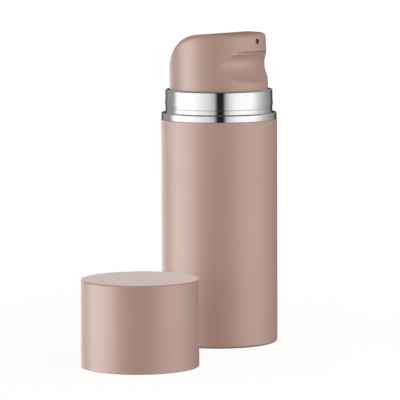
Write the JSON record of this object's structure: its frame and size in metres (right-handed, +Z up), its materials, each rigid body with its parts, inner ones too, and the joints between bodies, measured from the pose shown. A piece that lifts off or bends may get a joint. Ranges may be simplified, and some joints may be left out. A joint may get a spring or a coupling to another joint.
{
  "type": "airless pump bottle",
  "caption": "Round airless pump bottle with satin dusty-rose tube, bright two-step collar and finger-scooped pump head, its overcap taken off and standing beside it.",
  "frame": {"origin": "centre of the bottle's foot, on the surface that it stands on", "axes": "+Z up along the bottle's axis, -Y towards the nozzle, +X to the right of the nozzle seen from above with the nozzle towards the viewer"},
  "size_m": [0.1146, 0.0571, 0.1226],
  "materials": {
    "rose_plastic": "satin pearl lacquer",
    "bright_collar": "bright plated",
    "natural_plastic": "natural moulded",
    "seal_rubber": "moulded",
    "spring_steel": "drawn wire"
  },
  "bodies": {
    "bottle": {"outer_bottle": "rose_plastic", "base_plug": "rose_plastic", "inner_vessel": "natural_plastic", "shoulder_ring": "bright_collar", "collar_sleeve": "bright_collar", "pump_closure": "natural_plastic", "neck_gasket": "seal_rubber", "pump_chamber": "natural_plastic", "chamber_cap": "natural_plastic", "stem_seal": "seal_rubber", "return_spring": "spring_steel"},
    "rod": {"stem": "natural_plastic", "poppet": "natural_plastic"},
    "head": {"actuator_core": "rose_plastic", "actuator_shell": "rose_plastic"},
    "piston": {"pump_piston": "natural_plastic"},
    "follower": {"follower_piston": "natural_plastic"},
    "ball": {"inlet_ball": "spring_steel"},
    "cap": {"overcap": "rose_plastic"}
  },
  "joints": [
    {"name": "head_press", "type": "slide", "parent": "bottle", "child": "rod", "axis": [0, 0, -1], "range_m": [0, 0.006], "stiffness_N_per_m": 1000, "springref_m": -0.008, "deforming": ["return_spring"]},
    {"name": "head_swivel", "type": "hinge", "parent": "rod", "child": "head", "pos_m": [0, 0, 0.11], "axis": [0, 0, 1], "continuous": true},
    {"name": "piston_lag", "type": "slide", "parent": "rod", "child": "piston", "axis": [0, 0, 1], "range_m": [0, 0.0008]},
    {"name": "follower_rise", "type": "slide", "parent": "bottle", "child": "follower", "axis": [0, 0, 1], "range_m": [0, 0.0623]},
    {"name": "inlet_lift", "type": "slide", "parent": "bottle", "child": "ball", "axis": [0, 0, 1], "range_m": [0, 0.001]},
    {"name": "cap_lift", "type": "slide", "parent": "bottle", "child": "cap", "axis": [0, 0, 1], "range_m": [0, 0.13]}
  ]
}
